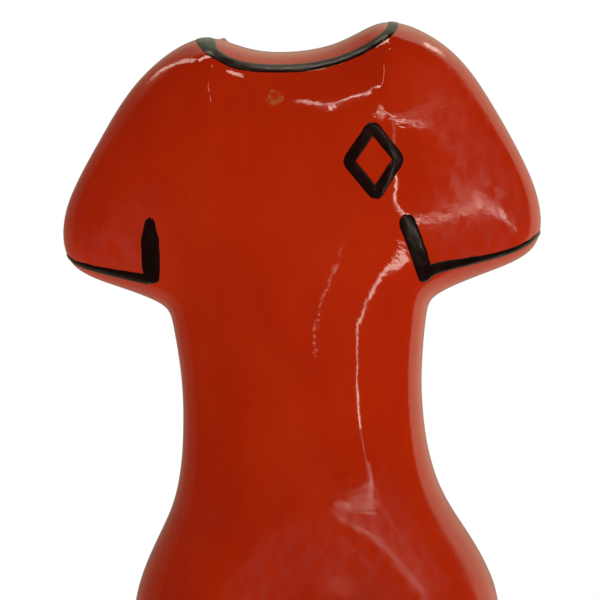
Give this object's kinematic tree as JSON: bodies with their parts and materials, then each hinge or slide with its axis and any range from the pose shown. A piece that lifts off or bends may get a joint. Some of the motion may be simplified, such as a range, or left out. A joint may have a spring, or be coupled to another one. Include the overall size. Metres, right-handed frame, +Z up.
{
  "type": "wooden meeple",
  "caption": "Headless wooden game figure in gloss orange-red enamel, shaped like a short-sleeved shirt on short legs, with painted collar, sleeve lines and a diamond badge.",
  "frame": {"origin": "middle of the footprint on the surface that the soles stand on", "axes": "+Z up from the soles to the neck, -Y out of the front that carries the badge, +X towards the badge's side"},
  "size_m": [0.0602, 0.0234, 0.084],
  "materials": {
    "bare_wood": "bare, sanded",
    "orange_red_enamel": "thick glossy enamel, slightly uneven",
    "black_paint": "glossy, laid on by hand"
  },
  "bodies": {
    "root": {"wooden_body": "bare_wood", "enamel_coat": "orange_red_enamel", "collar_line": "black_paint", "left_hem_line": "black_paint", "right_hem_line": "black_paint", "front_left_underarm_line": "black_paint", "front_right_underarm_line": "black_paint", "back_left_underarm_line": "black_paint", "back_right_underarm_line": "black_paint", "chest_badge": "black_paint"}
  },
  "joints": []
}
